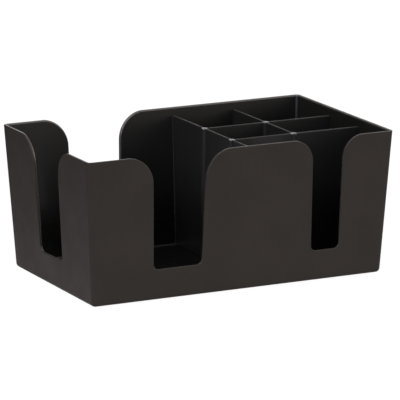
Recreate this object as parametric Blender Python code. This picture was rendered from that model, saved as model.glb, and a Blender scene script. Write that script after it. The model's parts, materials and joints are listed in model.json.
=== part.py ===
"""A six-compartment bar caddy: a drafted tub, a lift-out grid of interlocked dividers and four pads.

The object stands on z = 0 with its centre on the z axis. +X is its long side, seen from the front,
and +Y is its back. Heights named "height" are measured from the underside of the tub.
"""

import math

import bmesh
import bpy

MM = 0.001
DEGREE = math.radians(1.0)

# The tub, measured at the rim
RIM_LENGTH = 241.3 * MM
RIM_DEPTH = 146.05 * MM
TUB_HEIGHT = 105.0 * MM
WALL = 2.3 * MM
FLOOR = 2.8 * MM
WALL_DRAFT = 3.38 * DEGREE
OUTER_CORNER_RADIUS = 3.5 * MM
BOTTOM_EDGE_RADIUS = 3.0 * MM
INNER_CORNER_RADIUS = 1.6 * MM
FLOOR_FILLET_RADIUS = 1.2 * MM

# The finger slots in its walls, with widths measured at the sill
SLOT_SILL_HEIGHT = 22.4 * MM
SLOT_SILL_CORNER_RADIUS = 4.0 * MM
NAPKIN_SLOT_WIDTH = 37.6 * MM
NAPKIN_SLOT_FLARE = 1.5 * DEGREE
NAPKIN_SHOULDER_RADIUS = 20.8 * MM
COASTER_SLOT_WIDTH = 22.4 * MM
COASTER_SLOT_FLARE = 0.7 * DEGREE
COASTER_SHOULDER_RADIUS = 16.6 * MM
COASTER_SLOT_OFFSET = 3.4 * MM

# The dividers, with offsets measured from the middle of the bay they stand in
DIVIDER_DROP = 5.7 * MM
DIVIDER_TOP_THICKNESS = 1.5 * MM
DIVIDER_FOOT_THICKNESS = 2.3 * MM
MAIN_DIVIDER_X = 15.3 * MM
SHORT_DIVIDER_OFFSET = 0.4 * MM
REAR_CROSS_Y = 18.8 * MM
FRONT_CROSS_Y = -24.6 * MM

# Where the dividers meet: the groove in a bead stops below its whole round top
BEAD_DIAMETER = 5.3 * MM
BEAD_GROOVE_WEB = 0.2 * MM
BEAD_CAP = 3.0 * MM

# What seats them in the floor
TONGUE_THICKNESS = 1.5 * MM
SEAT_GROOVE_DEPTH = 1.0 * MM
TONGUE_INSET = 4.0 * MM

# The pads
PAD_DIAMETER = 12.0 * MM
PAD_THICKNESS = 1.6 * MM
PAD_PROUD = 0.6 * MM
PAD_INSET = 16.0 * MM

# The gap between neighbouring pieces, and how far a cutter runs past what it cuts
CLEARANCE = 0.3 * MM
OVERRUN = 5.0 * MM
SHOULDER_OVERRUN = 0.15 * MM

# The least radius left in a corner whose edge fillet is as large as the corner itself
LEAST_CORNER_RADIUS = 0.2 * MM

# How finely curves are divided
CORNER_STEPS = 8
EDGE_STEPS = 5
SHOULDER_STEPS = 20
SILL_CORNER_STEPS = 8
ROUND_SEGMENTS = 40

DIVIDER_BOTTOM_HEIGHT = FLOOR + CLEARANCE
DIVIDER_TOP_HEIGHT = TUB_HEIGHT - DIVIDER_DROP
HALF_LAP_HEIGHT = (DIVIDER_BOTTOM_HEIGHT + DIVIDER_TOP_HEIGHT) / 2
BEAD_GROOVE_HEIGHT = DIVIDER_TOP_HEIGHT - BEAD_CAP
SMOOTH_BELOW = 30.0 * DEGREE


def clear_scene():
    for obj in list(bpy.data.objects):
        bpy.data.objects.remove(obj, do_unlink=True)


def plastic(name, colour, roughness):
    material = bpy.data.materials.new(name)
    material.use_nodes = True
    shader = material.node_tree.nodes["Principled BSDF"]
    shader.inputs["Base Color"].default_value = (*colour, 1.0)
    shader.inputs["Roughness"].default_value = roughness
    shader.inputs["Metallic"].default_value = 0.0
    return material


def object_from(mesh_builder, name, material=None):
    """A closed mesh with its faces out, smooth except at its real edges."""
    bmesh.ops.recalc_face_normals(mesh_builder, faces=mesh_builder.faces)
    mesh = bpy.data.meshes.new(name)
    mesh_builder.to_mesh(mesh)
    mesh_builder.free()
    mesh.shade_smooth()
    mesh.set_sharp_from_angle(angle=SMOOTH_BELOW)
    if material:
        mesh.materials.append(material)
    obj = bpy.data.objects.new(name, mesh)
    bpy.context.scene.collection.objects.link(obj)
    return obj


def as_cutter(obj):
    obj.hide_render = True
    obj.display_type = "WIRE"
    return obj


def combine(target, other, operation):
    """Joins or cuts target with another object, which stays in the file as a wire."""
    as_cutter(other)
    modifier = target.modifiers.new(other.name, "BOOLEAN")
    modifier.operation = operation
    modifier.solver = "EXACT"
    modifier.object = other


def loft(rings):
    """A solid through rings of as many points each, closed at both ends."""
    builder = bmesh.new()
    loops = [[builder.verts.new(point) for point in ring] for ring in rings]
    for lower, upper in zip(loops, loops[1:]):
        for i in range(len(lower)):
            j = (i + 1) % len(lower)
            builder.faces.new((lower[i], lower[j], upper[j], upper[i]))
    builder.faces.new(reversed(loops[0]))
    builder.faces.new(loops[-1])
    return builder


def arc(centre, radius, start, end, steps):
    """Points on an arc in a plane, from one angle to another."""
    points = []
    for step in range(steps + 1):
        angle = start + (end - start) * step / steps
        points.append((centre[0] + radius * math.cos(angle), centre[1] + radius * math.sin(angle)))
    return points


def rounded_rectangle(half_x, half_y, radius, z):
    ring = []
    for quarter, (side_x, side_y) in enumerate(((1, 1), (-1, 1), (-1, -1), (1, -1))):
        centre = (side_x * (half_x - radius), side_y * (half_y - radius))
        start = quarter * math.pi / 2
        corner = arc(centre, radius, start, start + math.pi / 2, CORNER_STEPS)
        ring += [(x, y, z) for x, y in corner]
    return ring


def outer_half(rim_size, height):
    """Half the tub's outer length or depth at a height, from that size at the rim."""
    return rim_size / 2 - (TUB_HEIGHT - height) * math.tan(WALL_DRAFT)


def inner_half(rim_size, height):
    return outer_half(rim_size, height) - WALL


def divider_half(height):
    """Half a divider's thickness at a height: it is drafted, and thinner at the top."""
    share = (height - DIVIDER_BOTTOM_HEIGHT) / (DIVIDER_TOP_HEIGHT - DIVIDER_BOTTOM_HEIGHT)
    return (DIVIDER_FOOT_THICKNESS + share * (DIVIDER_TOP_THICKNESS - DIVIDER_FOOT_THICKNESS)) / 2


def bead_radius(height):
    """A bead has its diameter at the top, and the same draft as the divider."""
    return BEAD_DIAMETER / 2 + divider_half(height) - divider_half(DIVIDER_TOP_HEIGHT)


def drafted_block(half_size, bottom, top, corner_radius, edge_radius):
    """A block whose walls lean out, with rounded corners and a rounded lower edge."""
    rings = []
    heights = []
    for step in range(EDGE_STEPS + 1):
        angle = math.pi / 2 * step / EDGE_STEPS
        height = bottom + edge_radius * (1 - math.cos(angle))
        heights.append((height, edge_radius * (1 - math.sin(angle))))
    heights.append((top, 0.0))
    for height, inset in heights:
        half_x = half_size(RIM_LENGTH, height) - inset
        half_y = half_size(RIM_DEPTH, height) - inset
        radius = max(corner_radius - inset, LEAST_CORNER_RADIUS)
        rings.append(rounded_rectangle(half_x, half_y, radius, PAD_PROUD + height))
    return loft(rings)


def slot_outline(sill_width, flare, shoulder_radius):
    """One wall slot seen square on: a rounded sill, flared sides and rounded shoulders at the rim."""

    def half_width(height):
        return sill_width / 2 + (height - SLOT_SILL_HEIGHT) * math.tan(flare)

    sill_radius = SLOT_SILL_CORNER_RADIUS
    sill_centre_height = SLOT_SILL_HEIGHT + sill_radius
    sill_centre = (half_width(sill_centre_height) - sill_radius / math.cos(flare), sill_centre_height)
    side = arc(sill_centre, sill_radius, -math.pi / 2, -flare, SILL_CORNER_STEPS)

    # The shoulder's arc ends a little above the rim, so that it crosses the rim's plane cleanly
    shoulder_centre_height = TUB_HEIGHT + SHOULDER_OVERRUN - shoulder_radius
    tangent_height = shoulder_centre_height + shoulder_radius * math.sin(flare)
    shoulder_centre = (half_width(tangent_height) + shoulder_radius * math.cos(flare), shoulder_centre_height)
    side += arc(shoulder_centre, shoulder_radius, math.pi - flare, math.pi / 2, SHOULDER_STEPS)
    side.append((side[-1][0], TUB_HEIGHT + OVERRUN))
    return side + [(-along, height) for along, height in reversed(side)]


def slot_cutter(name, outline, place, turn):
    """A slot's outline drawn out both ways through the wall at place, and turned about z."""
    rings = []
    for depth in (-1, 1):
        reach = depth * (WALL + OVERRUN + TUB_HEIGHT * math.tan(WALL_DRAFT))
        rings.append([(along, reach, PAD_PROUD + height) for along, height in outline])
    cutter = object_from(loft(rings), name)
    cutter.location = (place[0], place[1], 0.0)
    cutter.rotation_euler = (0.0, 0.0, turn)
    return cutter


def bay_middle(side):
    """The middle, along X at the floor, of the bays on one side of the main divider."""
    wall = side * inner_half(RIM_LENGTH, FLOOR)
    divider = MAIN_DIVIDER_X + side * divider_half(DIVIDER_BOTTOM_HEIGHT)
    return (wall + divider) / 2


def short_divider_x():
    return bay_middle(1) + SHORT_DIVIDER_OFFSET


def wall_slots():
    napkin = slot_outline(NAPKIN_SLOT_WIDTH, NAPKIN_SLOT_FLARE, NAPKIN_SHOULDER_RADIUS)
    coaster = slot_outline(COASTER_SLOT_WIDTH, COASTER_SLOT_FLARE, COASTER_SHOULDER_RADIUS)
    mid_height = TUB_HEIGHT / 2
    wall_x = outer_half(RIM_LENGTH, mid_height)
    wall_y = outer_half(RIM_DEPTH, mid_height)
    napkin_x = bay_middle(-1)
    coaster_x = bay_middle(1) + COASTER_SLOT_OFFSET
    return [
        slot_cutter("cut_front_napkin_slot", napkin, (napkin_x, -wall_y), 0.0),
        slot_cutter("cut_rear_napkin_slot", napkin, (napkin_x, wall_y), 0.0),
        slot_cutter("cut_side_napkin_slot", napkin, (-wall_x, 0.0), math.pi / 2),
        slot_cutter("cut_coaster_slot", coaster, (coaster_x, -wall_y), 0.0),
    ]


def disc(name, place, bottom, top, radius, material=None, top_radius=None):
    """An upright round piece, which may taper."""
    builder = bmesh.new()
    bmesh.ops.create_cone(
        builder,
        cap_ends=True,
        segments=ROUND_SEGMENTS,
        radius1=radius,
        radius2=radius if top_radius is None else top_radius,
        depth=top - bottom,
    )
    bmesh.ops.translate(builder, verts=builder.verts, vec=(place[0], place[1], (bottom + top) / 2))
    return object_from(builder, name, material)


def pad_places():
    """Each pad's name and place, an inset from the edges of the underside."""
    x = outer_half(RIM_LENGTH, 0.0) - PAD_INSET
    y = outer_half(RIM_DEPTH, 0.0) - PAD_INSET
    places = {}
    for depth_name, side_y in (("front", -1), ("rear", 1)):
        for side_name, side_x in (("left", -1), ("right", 1)):
            places[f"pad_{depth_name}_{side_name}"] = (side_x * x, side_y * y)
    return places


def wedge(name, along, middle, outline, grow=0.0, material=None):
    """A drafted plate: an outline of (distance along, height) points, thick as a divider plus grow.

    It runs along X or Y, with its middle plane at that distance on the other axis.
    """
    rings = []
    for side in (-1, 1):
        ring = []
        for distance, height in outline:
            across = middle + side * (divider_half(height) + grow)
            place = (distance, across) if along == "X" else (across, distance)
            ring.append((*place, PAD_PROUD + height))
        rings.append(ring)
    return object_from(loft(rings), name, material)


def block(name, along, middle, start, end, bottom, top, half_thickness):
    """An upright block along X or Y, with straight sides."""
    rings = []
    for side in (-1, 1):
        across = middle + side * half_thickness
        ring = []
        for distance, height in ((start, bottom), (end, bottom), (end, top), (start, top)):
            place = (distance, across) if along == "X" else (across, distance)
            ring.append((*place, PAD_PROUD + height))
        rings.append(ring)
    return object_from(loft(rings), name)


def end_at_wall(rim_size, side):
    """A divider's end beside a wall: it follows the wall's lean and clears the floor's fillet."""
    chamfer = FLOOR_FILLET_RADIUS
    low = DIVIDER_BOTTOM_HEIGHT
    points = [
        (inner_half(rim_size, low) - CLEARANCE - chamfer, low),
        (inner_half(rim_size, low + chamfer) - CLEARANCE, low + chamfer),
        (inner_half(rim_size, DIVIDER_TOP_HEIGHT) - CLEARANCE, DIVIDER_TOP_HEIGHT),
    ]
    return [(side * distance, height) for distance, height in points]


def groove_seat():
    """From the axis of a bead to the bottom of its groove, which leaves the divider's web whole."""
    return divider_half(DIVIDER_BOTTOM_HEIGHT) + BEAD_GROOVE_WEB


def end_in_groove(axis, side):
    """A divider's end at a bead that stands at axis: in its groove, and notched under its whole top."""
    notch = BEAD_GROOVE_HEIGHT - CLEARANCE
    in_groove = axis + side * (groove_seat() + CLEARANCE)
    beside_cap = axis + side * (bead_radius(notch) + CLEARANCE)
    return [
        (in_groove, DIVIDER_BOTTOM_HEIGHT),
        (in_groove, notch),
        (beside_cap, notch),
        (beside_cap, DIVIDER_TOP_HEIGHT),
    ]


def outline_between(start, end):
    """A closed outline from the points up one end and the points up the other."""
    return end + list(reversed(start))


def add_bead(divider, name, place):
    bottom = PAD_PROUD + DIVIDER_BOTTOM_HEIGHT
    top = PAD_PROUD + DIVIDER_TOP_HEIGHT
    foot_radius = bead_radius(DIVIDER_BOTTOM_HEIGHT)
    bead = disc(name, place, bottom, top, foot_radius, top_radius=bead_radius(DIVIDER_TOP_HEIGHT))
    combine(divider, bead, "UNION")


def cut_bead_groove(divider, name, along, middle, axis):
    """The groove in a bead's + side, along X or Y, for the end of the divider that runs that way."""
    start = axis + groove_seat()
    end = axis + bead_radius(DIVIDER_BOTTOM_HEIGHT) + OVERRUN
    low = DIVIDER_BOTTOM_HEIGHT - OVERRUN
    high = BEAD_GROOVE_HEIGHT
    outline = [(start, low), (end, low), (end, high), (start, high)]
    combine(divider, wedge(name, along, middle, outline, CLEARANCE), "DIFFERENCE")


def tongue_runs(sections):
    """The stretches of a divider's foot that have a tongue: each section, less an inset at its ends."""
    return [(start + TONGUE_INSET, end - TONGUE_INSET) for start, end in sections]


def seat_in_floor(divider, tub, along, middle, sections):
    """Tongues under a divider, and the grooves in the tub's floor that they sit in."""
    for number, (start, end) in enumerate(tongue_runs(sections), 1):
        tongue = block(
            f"{divider.name}_tongue_{number}", along, middle, start, end,
            FLOOR - SEAT_GROOVE_DEPTH + CLEARANCE, DIVIDER_BOTTOM_HEIGHT + TONGUE_THICKNESS,
            TONGUE_THICKNESS / 2,
        )
        combine(divider, tongue, "UNION")
        groove = block(
            f"cut_{divider.name}_groove_{number}", along, middle, start - CLEARANCE, end + CLEARANCE,
            FLOOR - SEAT_GROOVE_DEPTH, FLOOR + OVERRUN, TONGUE_THICKNESS / 2 + CLEARANCE,
        )
        combine(tub, groove, "DIFFERENCE")


def make_tub(material):
    outside = drafted_block(outer_half, 0.0, TUB_HEIGHT, OUTER_CORNER_RADIUS, BOTTOM_EDGE_RADIUS)
    tub = object_from(outside, "caddy_tub", material)
    inside = drafted_block(
        inner_half, FLOOR, TUB_HEIGHT + OVERRUN, INNER_CORNER_RADIUS, FLOOR_FILLET_RADIUS
    )
    combine(tub, object_from(inside, "cut_inside"), "DIFFERENCE")
    for cutter in wall_slots():
        combine(tub, cutter, "DIFFERENCE")
    return tub


def make_pads(tub, material):
    """The pads stand on the ground, and each sits in a recess under the tub's floor."""
    roof = PAD_THICKNESS + CLEARANCE
    for name, place in pad_places().items():
        disc(name, place, 0.0, PAD_THICKNESS, PAD_DIAMETER / 2, material)
        recess = disc(f"cut_{name}_recess", place, -OVERRUN, roof, PAD_DIAMETER / 2 + CLEARANCE)
        combine(tub, recess, "DIFFERENCE")


def make_main_divider(tub, material):
    front_end = end_at_wall(RIM_DEPTH, -1)
    rear_end = end_at_wall(RIM_DEPTH, 1)
    outline = outline_between(front_end, rear_end)
    divider = wedge("main_divider", "Y", MAIN_DIVIDER_X, outline, material=material)
    for name, y in (("rear", REAR_CROSS_Y), ("front", FRONT_CROSS_Y)):
        add_bead(divider, f"main_divider_{name}_bead", (MAIN_DIVIDER_X, y))
        cut_bead_groove(divider, f"cut_main_divider_{name}_groove", "X", y, MAIN_DIVIDER_X)
    seat_in_floor(divider, tub, "Y", MAIN_DIVIDER_X, [(front_end[0][0], rear_end[0][0])])


def make_cross_divider(tub, name, y, material, crossed):
    """From a bead of the main divider to the right wall, with a bead where the short divider is.

    One that the short divider crosses keeps its tongues clear of it.
    """
    left_end = end_in_groove(MAIN_DIVIDER_X, 1)
    right_end = end_at_wall(RIM_LENGTH, 1)
    outline = outline_between(left_end, right_end)
    divider = wedge(name, "X", y, outline, material=material)
    add_bead(divider, f"{name}_bead", (short_divider_x(), y))
    sections = [(left_end[0][0], right_end[0][0])]
    if crossed:
        sections = [(left_end[0][0], short_divider_x()), (short_divider_x(), right_end[0][0])]
    seat_in_floor(divider, tub, "X", y, sections)
    return divider


def cut_lap_in_rear_cross(rear_cross):
    """The slot up from the foot of the rear cross divider and its bead, for the short divider."""
    reach = bead_radius(DIVIDER_BOTTOM_HEIGHT) + OVERRUN
    start = REAR_CROSS_Y - reach
    end = REAR_CROSS_Y + reach
    low = DIVIDER_BOTTOM_HEIGHT - OVERRUN
    high = HALF_LAP_HEIGHT + CLEARANCE
    outline = [(start, low), (end, low), (end, high), (start, high)]
    slot = wedge("cut_rear_cross_lap", "Y", short_divider_x(), outline, CLEARANCE)
    combine(rear_cross, slot, "DIFFERENCE")


def make_short_divider(tub, material):
    """Half lapped under the rear cross divider, with its front end in the front cross divider's bead."""
    front_end = end_in_groove(FRONT_CROSS_Y, 1)
    rear_end = end_at_wall(RIM_DEPTH, 1)
    outline = outline_between(front_end, rear_end)
    middle = short_divider_x()
    divider = wedge("short_divider", "Y", middle, outline, material=material)
    above = DIVIDER_TOP_HEIGHT + OVERRUN
    lap = disc(
        "cut_short_divider_lap", (middle, REAR_CROSS_Y), PAD_PROUD + HALF_LAP_HEIGHT, PAD_PROUD + above,
        bead_radius(HALF_LAP_HEIGHT) + CLEARANCE, top_radius=bead_radius(above) + CLEARANCE,
    )
    combine(divider, lap, "DIFFERENCE")
    seat_in_floor(divider, tub, "Y", middle, [(front_end[0][0], rear_end[0][0])])


def main():
    clear_scene()
    tub_plastic = plastic("tub_plastic", (0.028, 0.027, 0.026), 0.45)
    divider_plastic = plastic("divider_plastic", (0.012, 0.012, 0.012), 0.12)
    pad_rubber = plastic("pad_rubber", (0.02, 0.02, 0.02), 0.9)

    tub = make_tub(tub_plastic)
    make_pads(tub, pad_rubber)
    make_main_divider(tub, divider_plastic)
    rear_cross = make_cross_divider(tub, "rear_cross_divider", REAR_CROSS_Y, divider_plastic, True)
    cut_lap_in_rear_cross(rear_cross)
    front_cross = make_cross_divider(tub, "front_cross_divider", FRONT_CROSS_Y, divider_plastic, False)
    cut_bead_groove(front_cross, "cut_front_cross_groove", "Y", short_divider_x(), FRONT_CROSS_Y)
    make_short_divider(tub, divider_plastic)


main()
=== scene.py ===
"""The looks of a black moulded bar caddy: a matte grained tub, a polished divider grid and four pads.

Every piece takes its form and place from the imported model. Here its edges are rounded as a mould leaves
them, each kind of surface gets its own finish, and the light and the camera of the picture are set up.
"""

import json
import math

import bmesh
import bpy
from mathutils import Matrix, Vector


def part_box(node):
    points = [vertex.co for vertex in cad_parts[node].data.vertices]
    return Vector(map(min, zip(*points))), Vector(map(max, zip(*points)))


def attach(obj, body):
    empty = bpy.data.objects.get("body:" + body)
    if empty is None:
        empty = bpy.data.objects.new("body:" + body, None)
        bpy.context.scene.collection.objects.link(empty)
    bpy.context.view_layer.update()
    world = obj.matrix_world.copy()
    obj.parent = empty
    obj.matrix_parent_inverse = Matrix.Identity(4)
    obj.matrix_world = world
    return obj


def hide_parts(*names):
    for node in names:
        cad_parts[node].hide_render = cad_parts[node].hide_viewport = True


MM = 0.001
DEGREE = math.radians(1.0)

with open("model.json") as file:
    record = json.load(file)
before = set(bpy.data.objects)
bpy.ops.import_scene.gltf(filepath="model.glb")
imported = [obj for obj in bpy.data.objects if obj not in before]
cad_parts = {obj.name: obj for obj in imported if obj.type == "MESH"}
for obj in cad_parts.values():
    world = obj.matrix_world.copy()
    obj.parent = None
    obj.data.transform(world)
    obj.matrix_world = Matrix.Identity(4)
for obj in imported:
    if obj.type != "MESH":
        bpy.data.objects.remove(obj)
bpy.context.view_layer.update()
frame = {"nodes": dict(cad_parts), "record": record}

# The camera looks at a point on the object's axis, and is moved in its own picture plane to frame it
CAMERA_AZIMUTH = -26.4996 * DEGREE
CAMERA_ELEVATION = 13.1257 * DEGREE
CAMERA_DISTANCE = 2800.59 * MM
CAMERA_AIM = Vector((0.0, 0.0, 50.6 * MM))
CAMERA_RIGHT_BY = 1.8374 * MM
CAMERA_UP_BY = 1.374 * MM
CAMERA_LENS = 349.95
CAMERA_SENSOR = 36.0
CAMERA_CLIP_START = 0.1
CAMERA_CLIP_END = 100.0

# Meshes: points nearer than this are one, and faces that turn less than this are one flat face
WELD = 0.002 * MM
FLAT_BELOW = 0.6 * DEGREE
SMOOTH_BELOW = 35.0 * DEGREE
SHARP_ABOVE = 40.0 * DEGREE

# How much the mould's edges are rounded. The rim's inner rounding is a polished lip of its own, coloured
# lighter than the tub as a painted highlight
RIM_ROUNDING_OUTSIDE = 0.5 * MM
RIM_ROUNDING_INSIDE = 1.05 * MM
DIVIDER_ROUNDING = 0.58 * MM
PAD_ROUNDING = 0.35 * MM
ROUNDING_SEGMENTS = 3

# Kinds of the tub's faces, in the order of its materials
OUTSIDE, INSIDE, EDGE, FILLET, BOTTOM, LIP = 0, 1, 2, 3, 4, 5

# How the tub's faces are told apart: parts of a unit normal, but FLOOR_ZONE, the height above the tub's
# foot below which the floor's own faces lie, and CORNER_SHARE, which is of the half length or half depth
FLOOR_ZONE = 5 * MM
FACES_DOWN = -0.5
LEVEL = 0.98
CORNER_SHARE = 0.05
FACES_WALLWARD = 0.5
TURNED_SIDEWAYS = 0.1
TURNED_UP = 0.15

# Kinds of a divider's faces, and how they are told apart by parts of a unit normal
POLISHED, SATIN = 0, 1
FACES_ALONG = 0.9
BLADE_SIDE = 0.995

# The dividers stand 0.3 mm off the walls and the floor in the frame; here they all but touch
SEATING = 0.25 * MM
END_ZONE = 2 * MM
COVE = 0.3 * MM
COVE_STEPS = 4
CREST_ZONE = MM
BEAD_REACH = 2.75 * MM

# Plastics: the range in which most noise lies, draw marks and fine scratches
NOISE_RANGE = (0.3, 0.7)
ROUGHNESS_CLOUD_SHARE = 0.6
MARK_LENGTHENED = 60.0
STREAK_WIDTH = 1.1 * MM
STREAK_RANGE = (0.45, 0.75)
HAIRLINE_WIDTH = 0.35 * MM
HAIRLINE_RANGE = (0.72, 0.8)
HAIRLINE_TURNS = (0.5, -0.9)
HAIRLINE_TILT = 0.7

# Heights between which the inside goes from the painted shade and smoother finish of the foot of the bays
# to the plain colour and finish of their top
DEEP = 15 * MM
SHALLOW = 85 * MM

# The floor's paper, and the tinted pool of light that glossy rays see on it, from its middle outwards
FLOOR_RADIUS = 30.0
FLOOR_SEGMENTS = 96
PAPER_CLOUD = 0.4
PAPER_DARK = (0.52, 0.505, 0.49)
PAPER_LIGHT = (0.56, 0.545, 0.53)
PAPER_ROUGHNESS = 0.9
POOL_MIDDLE = (0.0, -0.2, 0.0)
POOL_FROM = 0.22
POOL_TO = 0.6
POOL_STOPS = (
    ((1.0, 0.91, 0.95), 0.5),
    ((1.0, 0.86, 1.1), 0.29),
    ((1.0, 0.86, 1.1), 0.06),
)
POOL_SHARE = 0.9
WHITE = (1.0, 1.0, 1.0, 1.0)
WHITE_SHARE = 0.86
WHITE_STRENGTH = 1.12

# The studio's light. Heights are sines of the elevation. Overhead a ring fades in and gets dimmer to the
# top, and each soft box, of (azimuth, half width, level, tint), fades out below it
DIM_LEVEL = 0.05
RING_LEVEL = 0.87
RING_TINT = (1.0, 0.98, 0.95)
RING_FADES_IN = (0.5, 0.68)
RING_DIMS = (0.8, 1.0)
RING_TOP_SHARE = 0.7
BOXES_FADE_OUT = (0.45, 0.65)
SOFT_BOXES = (
    (-37 * DEGREE, 62 * DEGREE, 1.18, (1.03, 0.9, 1.25)),
    (68 * DEGREE, 62 * DEGREE, 2.1, (1.0, 0.95, 0.84)),
)

# Round lights of (azimuth, elevation, half width, level): a sweep low behind, and two on the left
SPOTS = (
    (153 * DEGREE, 12 * DEGREE, 21 * DEGREE, 1.62),
    (-75 * DEGREE, 28 * DEGREE, 8 * DEGREE, 27.0),
    (-95 * DEGREE, 60 * DEGREE, 28 * DEGREE, 2.6),
)


def direction(azimuth, elevation):
    """The way from the object to something seen at that azimuth, from the front, and elevation."""
    flat = math.cos(elevation)
    return Vector((math.sin(azimuth) * flat, -math.cos(azimuth) * flat, math.sin(elevation)))


def add_to_scene(obj):
    bpy.context.scene.collection.objects.link(obj)
    return obj


def make_camera():
    data = bpy.data.cameras.new("camera")
    data.lens = CAMERA_LENS
    data.sensor_width = CAMERA_SENSOR
    data.clip_start = CAMERA_CLIP_START
    data.clip_end = CAMERA_CLIP_END
    camera = add_to_scene(bpy.data.objects.new("camera", data))
    back = direction(CAMERA_AZIMUTH, CAMERA_ELEVATION)
    right = Vector((math.cos(CAMERA_AZIMUTH), math.sin(CAMERA_AZIMUTH), 0.0))
    up = back.cross(right)
    moved = right * CAMERA_RIGHT_BY + up * CAMERA_UP_BY
    turn = Matrix((right, up, back)).transposed().to_4x4()
    camera.matrix_world = Matrix.Translation(CAMERA_AIM + back * CAMERA_DISTANCE + moved) @ turn
    bpy.context.scene.camera = camera


class Nodes:
    """A node tree, and short ways to add to it."""

    def __init__(self, tree):
        self.tree = tree
        self.tree.nodes.clear()

    def add(self, kind, inputs=None, **settings):
        node = self.tree.nodes.new(kind)
        for name, value in settings.items():
            setattr(node, name, value)
        for name, value in (inputs or {}).items():
            self.set(node.inputs[name], value)
        return node

    def set(self, socket, value):
        if isinstance(value, bpy.types.NodeSocket):
            self.tree.links.new(value, socket)
        else:
            socket.default_value = value

    def math(self, operation, first, second, third=0.0):
        node = self.add("ShaderNodeMath", operation=operation)
        self.set(node.inputs[0], first)
        self.set(node.inputs[1], second)
        self.set(node.inputs[2], third)
        return node.outputs[0]

    def span(self, value, start, end, low, high, smooth=False):
        """Value from start to end, turned into low to high."""
        names = {"From Min": start, "From Max": end, "To Min": low, "To Max": high}
        node = self.add("ShaderNodeMapRange", {"Value": value, **names}, clamp=True)
        if smooth:
            node.interpolation_type = "SMOOTHSTEP"
        return node.outputs["Result"]

    def vector(self, operation, first, second=(0.0, 0.0, 0.0)):
        node = self.add("ShaderNodeVectorMath", operation=operation)
        self.set(node.inputs[0], first)
        self.set(node.inputs[1], second)
        return node.outputs["Value" if operation in ("DOT_PRODUCT", "DISTANCE") else "Vector"]

    def colour(self, level, tint):
        """A colour: tint, as strong as level."""
        node = self.add("ShaderNodeVectorMath", {0: tint}, operation="SCALE")
        self.set(node.inputs["Scale"], level)
        return node.outputs["Vector"]

    def ramp(self, value, colours, ends=(0.0, 1.0)):
        """Colours at even steps of value, from the one end to the other."""
        node = self.add("ShaderNodeValToRGB", {"Fac": value})
        start, end = ends
        steps = len(colours) - 1
        for step in range(1, steps):
            node.color_ramp.elements.new(start + (end - start) * step / steps)
        node.color_ramp.elements[0].position = start
        node.color_ramp.elements[-1].position = end
        for element, colour in zip(node.color_ramp.elements, colours):
            element.color = colour
        return node.outputs["Color"]

    def mix(self, share, first, second):
        """The first shader, and as much as share of the second."""
        node = self.add("ShaderNodeMixShader")
        for socket, value in zip(node.inputs, (share, first, second)):
            self.set(socket, value)
        return node.outputs["Shader"]

    def lobe(self, way, middle, width):
        """1 where way points to the middle, and 0 from the angle width away from it."""
        near = self.vector("DOT_PRODUCT", way, middle)
        return self.span(near, math.cos(width), 1.0, 0.0, 1.0, smooth=True)

    def noise(self, place, size, detail=2.0, roughness=0.5, stretch=None, turn=None):
        """Noise whose lumps are about size across, in metres, and longer where stretched."""
        if stretch or turn:
            mapping = self.add("ShaderNodeMapping", {"Vector": place})
            if turn:
                mapping.inputs["Rotation"].default_value = turn
            if stretch:
                mapping.inputs["Scale"].default_value = [1.0 / part for part in stretch]
            place = mapping.outputs["Vector"]
        inputs = {"Vector": place, "Scale": 1.0 / size, "Detail": detail, "Roughness": roughness}
        return self.add("ShaderNodeTexNoise", inputs).outputs["Fac"]


def shade(colour, factor):
    return (*[part * factor for part in colour], 1.0)


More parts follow.
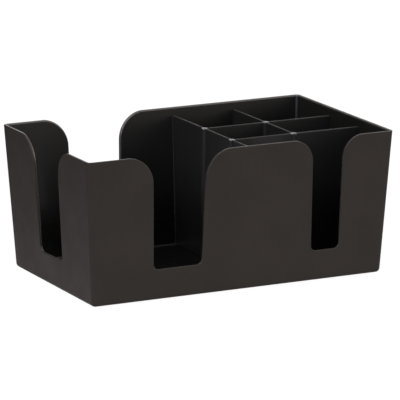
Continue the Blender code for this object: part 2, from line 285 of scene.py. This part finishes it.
def plastic(
    name, colour, roughness, specular=0.5, mottle=0.08, mottle_size=30 * MM, grain=None, swell=None,
    streaks=0.0, hairlines=0.0, skin=None, deep_shade_and_smoothing=None,
):
    """A moulded plastic or rubber.

    colour varies by the share mottle. roughness is (least, most). grain and swell are (size, height) of
    the fine texture and of the slow waves in a face. streaks is how much the mould's draw marks, and
    hairlines how much fine scratches, add to the roughness. skin is the (weight, roughness) of the thin
    clear layer that a polished mould leaves. The last argument is (painted shade, smoothing): how much
    darker, as painted shade, and how much smoother the surface is at the foot of the bays than at their
    top.
    """
    material = bpy.data.materials.new(name)
    material.use_nodes = True
    material.diffuse_color = shade(colour, 1.0)
    nodes = Nodes(material.node_tree)
    place = nodes.add("ShaderNodeTexCoord").outputs["Object"]

    clouds = nodes.noise(place, mottle_size, detail=4.0, roughness=0.6)
    base = nodes.ramp(clouds, (shade(colour, 1.0 - mottle), shade(colour, 1.0 + mottle)), NOISE_RANGE)

    patches = nodes.noise(place, mottle_size * ROUGHNESS_CLOUD_SHARE, detail=3.0)
    rough = nodes.span(patches, *NOISE_RANGE, *roughness)
    if deep_shade_and_smoothing:
        painted_deep_shade, smoother = deep_shade_and_smoothing
        height = nodes.add("ShaderNodeSeparateXYZ", {"Vector": place}).outputs["Z"]
        less_rough = nodes.span(height, DEEP, SHALLOW, smoother, 0.0, smooth=True)
        rough = nodes.math("SUBTRACT", rough, less_rough)
        # Painted shade: the colour darkens towards the foot of the bays
        base = nodes.colour(nodes.span(height, DEEP, SHALLOW, 1.0 - painted_deep_shade, 1.0, smooth=True), base)
    if streaks:
        lines = nodes.noise(place, STREAK_WIDTH, detail=2.0, stretch=(1.0, 1.0, MARK_LENGTHENED))
        rough = nodes.math("ADD", rough, nodes.span(lines, *STREAK_RANGE, 0.0, streaks))
    if hairlines:
        for turn in HAIRLINE_TURNS:
            lines = nodes.noise(
                place, HAIRLINE_WIDTH, detail=0.0, stretch=(MARK_LENGTHENED, 1.0, 1.0),
                turn=(turn, turn * HAIRLINE_TILT, turn),
            )
            rough = nodes.math("ADD", rough, nodes.span(lines, *HAIRLINE_RANGE, 0.0, hairlines))

    shader = nodes.add("ShaderNodeBsdfPrincipled", {
        "Base Color": base,
        "Roughness": rough,
        "Specular IOR Level": specular,
    })
    if skin:
        weight, skin_roughness = skin
        shader.inputs["Coat Weight"].default_value = weight
        shader.inputs["Coat Roughness"].default_value = skin_roughness
    normal = None
    for layer in (swell, grain):
        if layer:
            size, height = layer
            inputs = {"Height": nodes.noise(place, size, detail=2.0), "Distance": height, "Strength": 1.0}
            if normal:
                inputs["Normal"] = normal
            normal = nodes.add("ShaderNodeBump", inputs).outputs["Normal"]
    if normal:
        nodes.set(shader.inputs["Normal"], normal)
    nodes.add("ShaderNodeOutputMaterial", {"Surface": shader.outputs["BSDF"]})
    return material


def welded(node_name):
    """A copy of a node's mesh with its facets joined into whole faces."""
    builder = bmesh.new()
    builder.from_mesh(frame["nodes"][node_name].data)
    bmesh.ops.remove_doubles(builder, verts=builder.verts, dist=WELD)
    bmesh.ops.dissolve_limit(
        builder, angle_limit=FLAT_BELOW, verts=builder.verts, edges=builder.edges
    )
    builder.normal_update()
    return builder


def round_edges(builder, edges, radius, finish=-1):
    """Rounds these edges. finish is the material of the rounding, or -1 for that of the faces beside it."""
    bmesh.ops.bevel(
        builder, geom=list(edges), offset=radius, offset_type="OFFSET", segments=ROUNDING_SEGMENTS,
        profile=0.5, affect="EDGES", clamp_overlap=False, material=finish, loop_slide=False,
    )


def body_that_holds(node_name):
    for body, nodes in frame["record"]["behaviour"]["bodies"].items():
        if node_name in nodes:
            return body
    raise ValueError(f"no body holds {node_name}")


def piece_from(builder, name, node_name, materials):
    """Makes the finished piece, which stands for a node and rides with its body."""
    mesh = bpy.data.meshes.new(name)
    builder.normal_update()
    builder.to_mesh(mesh)
    builder.free()
    for material in materials:
        mesh.materials.append(material)
    mesh.shade_smooth()
    mesh.set_sharp_from_angle(angle=SMOOTH_BELOW)
    piece = add_to_scene(bpy.data.objects.new(name, mesh))
    weighted = piece.modifiers.new("weighted_normal", "WEIGHTED_NORMAL")
    weighted.keep_sharp = True
    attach(piece, body_that_holds(node_name))
    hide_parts(node_name)


def tub_face_kind(face, half_x, half_y, floor_top):
    """Which kind of face this is, before the rim is rounded."""
    centre = face.calc_center_median()
    normal = face.normal
    if normal.z < FACES_DOWN:
        return OUTSIDE
    if centre.z < floor_top:
        if normal.z > LEVEL:
            return BOTTOM
        return FILLET if normal.z > 0.0 else OUTSIDE
    share_x = abs(centre.x) / half_x
    share_y = abs(centre.y) / half_y
    outward = Vector((0.0, 0.0, 0.0))
    if share_x > share_y - CORNER_SHARE:
        outward.x = math.copysign(1.0, centre.x)
    if share_y > share_x - CORNER_SHARE:
        outward.y = math.copysign(1.0, centre.y)
    facing = normal.dot(outward)
    turned = min(abs(normal.x), abs(normal.y)) > TURNED_SIDEWAYS or normal.z > TURNED_UP
    if facing > FACES_WALLWARD:
        return OUTSIDE
    if facing < -FACES_WALLWARD:
        return FILLET if turned else INSIDE
    return EDGE


def make_tub(materials):
    lowest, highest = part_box("caddy_tub")
    builder = welded("caddy_tub")
    floor_top = lowest[2] + FLOOR_ZONE
    for face in builder.faces:
        face.material_index = tub_face_kind(face, highest[0], highest[1], floor_top)
    inner, outer = [], []
    for edge in builder.edges:
        kinds = [face.material_index for face in edge.link_faces]
        if EDGE in kinds and edge.calc_face_angle(0.0) > SHARP_ABOVE:
            (inner if INSIDE in kinds or FILLET in kinds else outer).append(edge)
    round_edges(builder, inner, RIM_ROUNDING_INSIDE, LIP)
    round_edges(builder, outer, RIM_ROUNDING_OUTSIDE, OUTSIDE)
    piece_from(builder, "tub_moulding", "caddy_tub", materials)


def largest(faces):
    return max(faces, key=lambda face: face.calc_area())


def blade_middle(builder, across):
    """Where a divider's middle plane is, from its largest face on each side."""
    places = []
    for side in (-1, 1):
        faces = [face for face in builder.faces if side * face.normal[across] > FACES_ALONG]
        places.append(largest(faces).calc_center_median()[across])
    return sum(places) / 2


def place_of(node_name, across):
    """Where a divider stands, across its length."""
    builder = welded(node_name)
    middle = blade_middle(builder, across)
    builder.free()
    return middle


def seat_end(builder, along, side):
    """Brings a divider's end up to the wall, and returns a point of that end and its normal."""
    end = largest([face for face in builder.faces if side * face.normal[along] > FACES_ALONG])
    normal = end.normal.copy()
    point = end.calc_center_median() + normal * SEATING
    for vert in builder.verts:
        if normal.dot(point - vert.co) < END_ZONE:
            vert.co += normal * SEATING
    return point, normal


def widen_end(builder, point, normal, across, middle):
    """Widens a divider's end in a small cove where it meets the wall."""
    for step in range(COVE_STEPS):
        depth = COVE * (1.0 - math.sin(math.pi / 2 * step / COVE_STEPS))
        bmesh.ops.bisect_plane(
            builder, geom=builder.verts[:] + builder.edges[:] + builder.faces[:], dist=WELD,
            plane_co=point - normal * depth, plane_no=normal,
        )
    for vert in builder.verts:
        depth = max(normal.dot(point - vert.co), 0.0)
        if depth < COVE:
            grow = COVE - math.sqrt(COVE ** 2 - (COVE - depth) ** 2)
            vert.co[across] += math.copysign(grow, vert.co[across] - middle)


def seat_foot(builder):
    """Brings a divider's foot down to the floor of the tub, around its tongues."""
    feet = [face for face in builder.faces if face.normal.z < -FACES_ALONG]
    foot = largest(feet).calc_center_median().z
    for vert in builder.verts:
        if abs(vert.co.z - foot) < WELD:
            vert.co.z -= SEATING


def crest_of(builder, top):
    """The faces on top of a divider."""
    return [
        face for face in builder.faces
        if face.normal.z > FACES_ALONG and face.calc_center_median().z > top - CREST_ZONE
    ]


def make_divider(node_name, along, wall_ends, beads, materials, coved=False):
    """A divider along axis 0 or 1, with its ends at the walls and the places of its beads on that axis."""
    across = 1 - along
    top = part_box(node_name)[1][2]
    builder = welded(node_name)
    middle = blade_middle(builder, across)
    seat_foot(builder)
    for side in wall_ends:
        point, normal = seat_end(builder, along, side)
        if coved:
            widen_end(builder, point, normal, across, middle)

    # The crest is cut beside each bead, so that the two can have finishes of their own
    axis = Vector((1.0 - along, float(along), 0.0))
    for bead in beads:
        for side in (-1, 1):
            crest = crest_of(builder, top)
            around = {part for face in crest for part in (*face.verts, *face.edges)}
            bmesh.ops.bisect_plane(
                builder, geom=[*around, *crest], dist=WELD,
                plane_co=axis * (bead + side * BEAD_REACH), plane_no=axis,
            )
    builder.normal_update()
    crest_edges = {edge for face in crest_of(builder, top) for edge in face.edges}
    edges = {edge for edge in crest_edges if edge.calc_face_angle(0.0) > SHARP_ABOVE}
    round_edges(builder, edges, DIVIDER_ROUNDING)
    builder.normal_update()
    for face in builder.faces:
        centre = face.calc_center_median()
        on_bead = any(abs(centre[along] - bead) < BEAD_REACH for bead in beads)
        blade_side = abs(face.normal[across]) > BLADE_SIDE
        face.material_index = POLISHED if on_bead or blade_side else SATIN
    piece_from(builder, f"{node_name}_blade", node_name, materials)


def make_pad(node_name, materials):
    builder = welded(node_name)
    edges = [edge for edge in builder.edges if edge.calc_face_angle(0.0) > SHARP_ABOVE]
    round_edges(builder, edges, PAD_ROUNDING)
    piece_from(builder, f"{node_name}_disc", node_name, materials)


def make_floor():
    """A large pale floor: white to the camera, with the object's soft shadow kept, and a tinted pool of
    light to the rays that a glossy surface throws back."""
    builder = bmesh.new()
    bmesh.ops.create_circle(builder, cap_ends=True, segments=FLOOR_SEGMENTS, radius=FLOOR_RADIUS)
    mesh = bpy.data.meshes.new("studio_floor")
    builder.to_mesh(mesh)
    builder.free()
    floor = add_to_scene(bpy.data.objects.new("studio_floor", mesh))
    material = bpy.data.materials.new("floor_paper")
    material.use_nodes = True
    nodes = Nodes(material.node_tree)
    place = nodes.add("ShaderNodeTexCoord").outputs["Object"]
    clouds = nodes.noise(place, PAPER_CLOUD, detail=3.0)
    paper = nodes.add("ShaderNodeBsdfPrincipled", {
        "Base Color": nodes.ramp(clouds, (shade(PAPER_DARK, 1.0), shade(PAPER_LIGHT, 1.0))),
        "Roughness": PAPER_ROUGHNESS,
        "Specular IOR Level": 0.0,
    })
    away = nodes.span(nodes.vector("DISTANCE", place, POOL_MIDDLE), POOL_FROM, POOL_TO, 0.0, 1.0)
    pool = nodes.ramp(away, [shade(tint, level) for tint, level in POOL_STOPS])
    path = nodes.add("ShaderNodeLightPath")
    surface = paper.outputs["BSDF"]
    for ray, share, colour, strength in (
        ("Is Glossy Ray", POOL_SHARE, pool, 1.0),
        ("Is Camera Ray", WHITE_SHARE, WHITE, WHITE_STRENGTH),
    ):
        glow = nodes.add("ShaderNodeEmission", {"Color": colour, "Strength": strength})
        seen = nodes.math("MULTIPLY", path.outputs[ray], share)
        surface = nodes.mix(seen, surface, glow.outputs["Emission"])
    nodes.add("ShaderNodeOutputMaterial", {"Surface": surface})
    mesh.materials.append(material)


def make_world():
    """A studio: a broad ring overhead, a soft box on each side in front, and round lights."""
    world = bpy.data.worlds.new("studio")
    world.use_nodes = True
    bpy.context.scene.world = world
    nodes = Nodes(world.node_tree)
    way = nodes.add("ShaderNodeTexCoord").outputs["Generated"]
    height = nodes.add("ShaderNodeSeparateXYZ", {"Vector": way}).outputs["Z"]
    low = nodes.span(height, *BOXES_FADE_OUT, 1.0, 0.0, smooth=True)
    round_about = nodes.vector("NORMALIZE", nodes.vector("MULTIPLY", way, (1.0, 1.0, 0.0)))
    fade_in = nodes.span(height, *RING_FADES_IN, 0.0, 1.0, smooth=True)
    dim = nodes.span(height, *RING_DIMS, 1.0, RING_TOP_SHARE)
    ring = nodes.math("MULTIPLY", fade_in, dim)
    glow = nodes.colour(nodes.math("MULTIPLY_ADD", ring, RING_LEVEL, DIM_LEVEL), RING_TINT)
    for azimuth, width, level, tint in SOFT_BOXES:
        share = nodes.lobe(round_about, direction(azimuth, 0.0), width)
        share = nodes.math("MULTIPLY", nodes.math("MULTIPLY", share, low), level)
        glow = nodes.vector("ADD", glow, nodes.colour(share, tint))
    for azimuth, elevation, width, level in SPOTS:
        share = nodes.lobe(way, direction(azimuth, elevation), width)
        glow = nodes.vector("ADD", glow, nodes.colour(share, (level, level, level)))
    light = nodes.add("ShaderNodeBackground", {"Color": glow, "Strength": 1.0})
    white = nodes.add("ShaderNodeBackground", {"Color": WHITE, "Strength": 1.0})
    seen = nodes.add("ShaderNodeLightPath").outputs["Is Camera Ray"]
    surface = nodes.mix(seen, light.outputs["Background"], white.outputs["Background"])
    nodes.add("ShaderNodeOutputWorld", {"Surface": surface})


make_camera()
bpy.context.scene.view_settings.view_transform = "Standard"

tub_outside = plastic(
    "tub_outside_grain", (0.0216, 0.0184, 0.0137), (0.42, 0.52), specular=0.33, mottle=0.14,
    grain=(0.45 * MM, 0.012 * MM), swell=(22 * MM, 0.06 * MM), streaks=0.04,
)
# The inside darkens towards the foot of the bays: painted shade
tub_inside = plastic(
    "tub_inside_polish", (0.0038, 0.0043, 0.0029), (0.36, 0.41), specular=0.5, mottle=0.06,
    swell=(14 * MM, 0.03 * MM), hairlines=0.05, skin=(0.25, 0.09), deep_shade_and_smoothing=(0.7, 0.14),
)
tub_edge = plastic(
    "tub_edge_satin", (0.026, 0.0225, 0.02), (0.34, 0.4), specular=0.3, mottle=0.1, mottle_size=8 * MM,
)
# The lip's real polish, with a colour lighter than the tub's plastic: a painted highlight along the rim
tub_lip_painted_highlight = plastic(
    "tub_lip_polish_painted_highlight", (0.036, 0.033, 0.03), (0.26, 0.32), specular=0.9, mottle=0.1, mottle_size=8 * MM,
)
# The polished dividers darken towards the foot of the bays: painted shade
divider_polish = plastic(
    "divider_polish", (0.0066, 0.0073, 0.0063), (0.38, 0.43), specular=0.56, mottle=0.06,
    swell=(12 * MM, 0.02 * MM), hairlines=0.05, skin=(0.2, 0.12), deep_shade_and_smoothing=(0.6, 0.1),
)
# The floors of the bays are coloured darker than the inside: painted shade at the foot of the bays
tub_bottom_painted_shade = plastic(
    "tub_bottom_polish_painted_shade", (0.0015, 0.0014, 0.0011), (0.26, 0.32), specular=0.3, mottle=0.06,
    swell=(14 * MM, 0.03 * MM), hairlines=0.05,
)
# The fillets darken towards the foot of the bays: painted shade
tub_fillet = plastic(
    "tub_fillet_satin", (0.0125, 0.0118, 0.0112), (0.42, 0.48), specular=0.6, mottle=0.06,
    mottle_size=8 * MM, deep_shade_and_smoothing=(0.85, 0.0),
)
divider_satin = plastic(
    "divider_satin", (0.0165, 0.016, 0.0158), (0.48, 0.54), specular=0.4, mottle=0.06,
    mottle_size=8 * MM,
)
pad_rubber = plastic(
    "pad_rubber_dull", (0.02, 0.02, 0.02), (0.75, 0.9), specular=0.3, mottle=0.12, mottle_size=3 * MM,
    grain=(0.25 * MM, 0.02 * MM),
)

make_tub([tub_outside, tub_inside, tub_edge, tub_fillet, tub_bottom_painted_shade, tub_lip_painted_highlight])
divider_materials = [divider_polish, divider_satin]
crossings = [place_of(name, 1) for name in ("rear_cross_divider", "front_cross_divider")]
crossed = [place_of("short_divider", 0)]
make_divider("main_divider", 1, (-1, 1), crossings, divider_materials, coved=True)
make_divider("rear_cross_divider", 0, (1,), crossed, divider_materials)
make_divider("front_cross_divider", 0, (1,), crossed, divider_materials)
make_divider("short_divider", 1, (1,), [], divider_materials)
for pad_name in ("pad_front_left", "pad_front_right", "pad_rear_left", "pad_rear_right"):
    make_pad(pad_name, [pad_rubber])

make_floor()
make_world()
